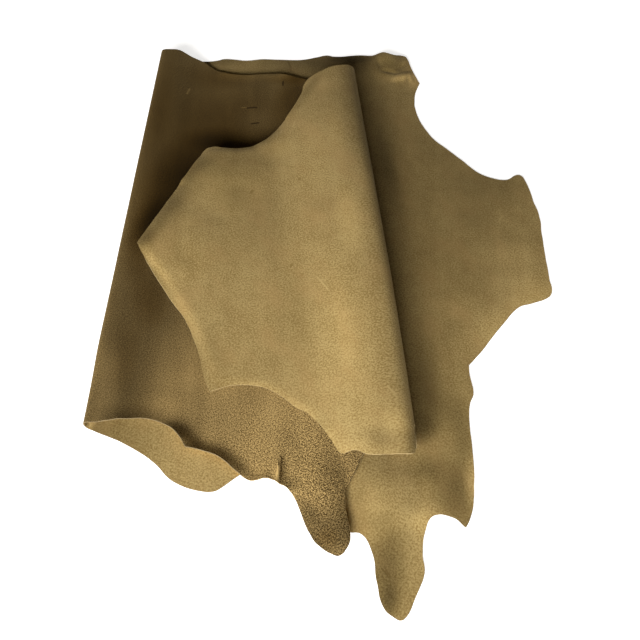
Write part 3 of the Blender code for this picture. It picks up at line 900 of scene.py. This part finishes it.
# Scratches and slits, with the painted highlight and painted shade of the crease at the notch
scratched = scratches_on(flesh, ("middle",))
share = (clouds * 0.20 + bands * 0.22 + fluff * (1.10 + coarse * 2.00) + fibres * 0.20
         - pits * 0.55 + scratched + 0.48)
flesh_colour = flesh.toned(flesh.mix(share, FLESH_DEEP, FLESH_PALE), FLESH_SHADE)
flesh.feed(flesh.shader.inputs["Base Color"], flesh_colour)
flesh.bump(fluff * (0.16 + coarse * 0.5) + fibres * 0.06 - pits * 0.7 + scratched * 0.2)

# The knife's cut: bare fibre, painted dark as in shade, and painted paler along the flap, as lit
EDGE_FIBRE_IN_PAINTED_SHADE = (0.105, 0.078, 0.040, 1)
EDGE_FIBRE_IN_PAINTED_LIGHT = (0.285, 0.215, 0.105, 1)

cut_edge = Finish("cut edge", roughness=0.92, specular=0.10, sheen=0.05, sheen_tint=GOLDEN)
fibre = cut_edge.noise(cut_edge.flat, scale=420, detail=3, roughness=0.6)
share = cut_edge.attribute("painted_rim_light") * 0.75 + fibre * 0.20 + 0.10
cut_edge.feed(cut_edge.shader.inputs["Base Color"], cut_edge.mix(share, EDGE_FIBRE_IN_PAINTED_SHADE, EDGE_FIBRE_IN_PAINTED_LIGHT))
cut_edge.bump(fibre * 0.12)


# The sheet gets its thickness, with the grain on one side, the flesh on the other and the
# cut edge between them, and takes the place of the plain solid.

SHARP_ANGLE = math.radians(50)

finishes = (grain, flesh, cut_edge)
for finish in finishes:
    mesh.materials.append(finish.material)
sheet = bpy.data.objects.new("hide_leather", mesh)
bpy.context.scene.collection.objects.link(sheet)
thickness = sheet.modifiers.new("thickness", "SOLIDIFY")
thickness.thickness = THICKNESS
thickness.offset = 0
thickness.use_even_offset = True
thickness.material_offset = finishes.index(flesh)
thickness.material_offset_rim = finishes.index(cut_edge)

graph = bpy.context.evaluated_depsgraph_get()
leather = bpy.data.meshes.new_from_object(sheet.evaluated_get(graph))
sheet.modifiers.clear()
sheet.data = leather
leather.set_sharp_from_angle(angle=SHARP_ANGLE)

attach(sheet, "root")
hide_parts("hide")


# The studio: a pale floor, one broad soft light low at the front left, like a window, and a
# little warm fill from everywhere. The hide is one sheet of leather that lies on the floor.

FLOOR_RADIUS = 14
FLOOR_SIDES = 96
FLOOR_GLOW = 0.75
PALE = (0.75, 0.75, 0.75, 1)
WHITE = (1, 1, 1, 1)

bm = bmesh.new()
bmesh.ops.create_circle(bm, cap_ends=True, segments=FLOOR_SIDES, radius=FLOOR_RADIUS)
floor_mesh = bpy.data.meshes.new("floor")
bm.to_mesh(floor_mesh)
bm.free()
floor = bpy.data.objects.new("floor", floor_mesh)
bpy.context.scene.collection.objects.link(floor)
paint = bpy.data.materials.new("pale floor")
paint.use_nodes = True
floor_shader = paint.node_tree.nodes["Principled BSDF"]
floor_shader.inputs["Base Color"].default_value = PALE
floor_shader.inputs["Roughness"].default_value = 1.0
floor_shader.inputs["Emission Color"].default_value = WHITE
floor_shader.inputs["Emission Strength"].default_value = FLOOR_GLOW
floor_mesh.materials.append(paint)

WINDOW_TARGET = Vector((0.0, -0.10, 0.0))
WINDOW_DISTANCE = 3.5
WINDOW_AZIMUTH = math.radians(22)
WINDOW_ELEVATION = math.radians(21)
WINDOW_WIDTH = 3.2
WINDOW_HEIGHT = 1.2
WINDOW_POWER = 370
DAYLIGHT = (1.0, 0.98, 0.95)

towards_window = Vector((
    -math.sin(WINDOW_AZIMUTH) * math.cos(WINDOW_ELEVATION),
    -math.cos(WINDOW_AZIMUTH) * math.cos(WINDOW_ELEVATION),
    math.sin(WINDOW_ELEVATION),
))
lamp = bpy.data.lights.new("window", "AREA")
lamp.shape = "RECTANGLE"
lamp.size = WINDOW_WIDTH
lamp.size_y = WINDOW_HEIGHT
lamp.energy = WINDOW_POWER
lamp.color = DAYLIGHT
window = bpy.data.objects.new("window", lamp)
window.location = WINDOW_TARGET + towards_window * WINDOW_DISTANCE
window.rotation_euler = towards_window.to_track_quat("Z", "Y").to_euler()
bpy.context.scene.collection.objects.link(window)

# The room's walls are as pale as the floor, low down, and dim and warm higher up
WALL_PALE_BELOW = 0.08
WALL_DIM_ABOVE = 0.24
DIM_WARM = (0.068, 0.056, 0.035, 1)

world = bpy.data.worlds.new("studio")
world.use_nodes = True
room = Nodes(world.node_tree)
direction = room.add("ShaderNodeTexCoord", output="Generated")
upwards = room.add("ShaderNodeSeparateXYZ", {0: direction}, "Z")
wall = room.mix(room.step(upwards, WALL_PALE_BELOW, WALL_DIM_ABOVE), PALE, DIM_WARM)
room.feed(room.tree.nodes["Background"].inputs["Color"], wall)
bpy.context.scene.world = world
bpy.context.scene.view_settings.view_transform = "Standard"


# The camera looks down at the hide from its near side, held at about the height of the
# chest of someone who stands before it, and takes in the whole of it.

CAMERA_TARGET = Vector((-0.0315, -0.1625, 0.0))
CAMERA_DISTANCE = 1.40
CAMERA_ELEVATION = math.radians(55)

# The width of the sensor and the length of the lens, in millimetres
SENSOR_WIDTH = 36
LENS = 39.375

view = bpy.data.cameras.new("view")
view.sensor_width = SENSOR_WIDTH
view.lens = LENS
camera = bpy.data.objects.new("camera", view)
camera.location = CAMERA_TARGET + CAMERA_DISTANCE * Vector(
    (0, -math.cos(CAMERA_ELEVATION), math.sin(CAMERA_ELEVATION)))
camera.rotation_euler = (math.pi / 2 - CAMERA_ELEVATION, 0, 0)
bpy.context.scene.collection.objects.link(camera)
bpy.context.scene.camera = camera
